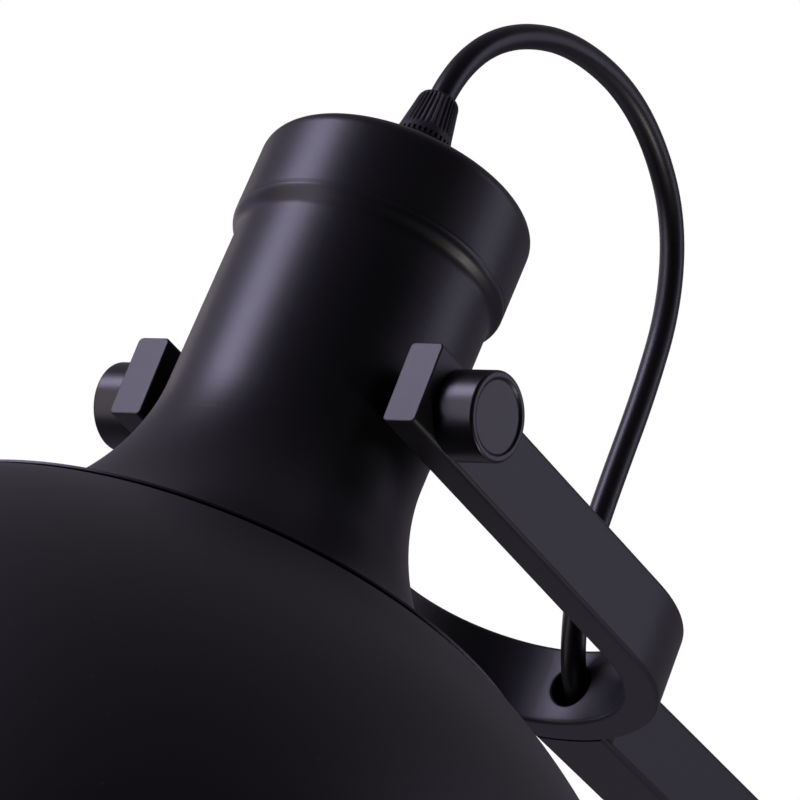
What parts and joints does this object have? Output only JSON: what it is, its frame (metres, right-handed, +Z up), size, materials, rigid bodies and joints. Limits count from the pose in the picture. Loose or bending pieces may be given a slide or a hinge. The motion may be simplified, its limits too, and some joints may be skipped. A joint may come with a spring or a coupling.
{
  "type": "arc floor lamp",
  "caption": "Arc floor lamp with a weighted round base, a square tube arm bent forward and a dome shade that tilts in a welded yoke.",
  "frame": {"origin": "middle of the underside of the base, on the floor", "axes": "+Z up along the pole, -Y forward to where the arm and the head reach, +X along the head's pivot axis to the lamp's left"},
  "size_m": [0.35, 1.2734, 1.8259],
  "materials": {
    "cast_iron": "bare casting, dark primer",
    "base_cover_paint": "matte black powder coat",
    "foam_mat": "closed-cell foam",
    "black_rubber": "matte rubber",
    "terminal_nylon": "natural nylon",
    "brass": "machined brass",
    "arm_paint": "satin black powder coat",
    "zinc_steel": "bright zinc plate",
    "screw_black": "black oxide",
    "yoke_paint": "satin black powder coat",
    "housing_paint": "satin black powder coat on spun aluminium",
    "shade_paint": "matte black powder coat on spun aluminium, white inside",
    "knob_paint": "satin black coat on turned steel",
    "grip_nylon": "black nylon",
    "spacer_nylon": "black nylon",
    "holder_plastic": "black phenolic",
    "flex_pvc": "satin black PVC sheath",
    "opal_glass": "opal glass",
    "bulb_metal": "thin plated cap"
  },
  "bodies": {
    "stand": {"base_mat": "foam_mat", "base_weight": "cast_iron", "base_cover": "base_cover_paint", "base_inlet": "black_rubber", "terminal_block": "terminal_nylon", "terminal_sleeves": "brass", "pole_flange": "arm_paint", "pole_collar": "arm_paint", "flange_screws": "zinc_steel", "pole": "arm_paint", "lower_joiner": "zinc_steel", "lower_joiner_screws": "screw_black", "arc_tube": "arm_paint", "upper_joiner": "zinc_steel", "upper_joiner_screws": "screw_black", "tip_tube": "arm_paint", "yoke": "yoke_paint", "yoke_welds": "yoke_paint", "head_flex": "flex_pvc", "arm_flex": "flex_pvc"},
    "head": {"neck_housing": "housing_paint", "dome_shade": "shade_paint", "seam_gasket": "black_rubber", "head_frame": "zinc_steel", "pivot_nuts": "zinc_steel", "pivot_spacers": "spacer_nylon", "cord_grip_body": "grip_nylon", "cord_grip_locknut": "grip_nylon", "cord_grip_seal": "black_rubber", "cord_grip_nut": "grip_nylon", "holder_cap": "holder_plastic", "holder_body": "holder_plastic", "holder_ring": "holder_plastic", "holder_thread": "brass", "holder_contact": "brass", "bulb_contact": "bulb_metal", "bulb_cap": "bulb_metal", "bulb_glass": "opal_glass", "neck_flex": "flex_pvc"},
    "knob_right": {"knob_right": "knob_paint", "knob_right_stud": "zinc_steel"},
    "knob_left": {"knob_left": "knob_paint", "knob_left_stud": "zinc_steel"}
  },
  "joints": [
    {"name": "head_tilt", "type": "hinge", "parent": "stand", "child": "head", "pos_m": [0, -0.83504, 1.72587], "axis": [1, 0, 0], "range_deg": [-45, 33], "deforming": ["head_flex"]},
    {"name": "knob_right_turn", "type": "hinge", "parent": "head", "child": "knob_right", "pos_m": [0.054, -0.83504, 1.72587], "axis": [1, 0, 0], "range_deg": [0, 270]},
    {"name": "knob_left_turn", "type": "hinge", "parent": "head", "child": "knob_left", "pos_m": [-0.054, -0.83504, 1.72587], "axis": [-1, 0, 0], "range_deg": [0, 270]}
  ]
}
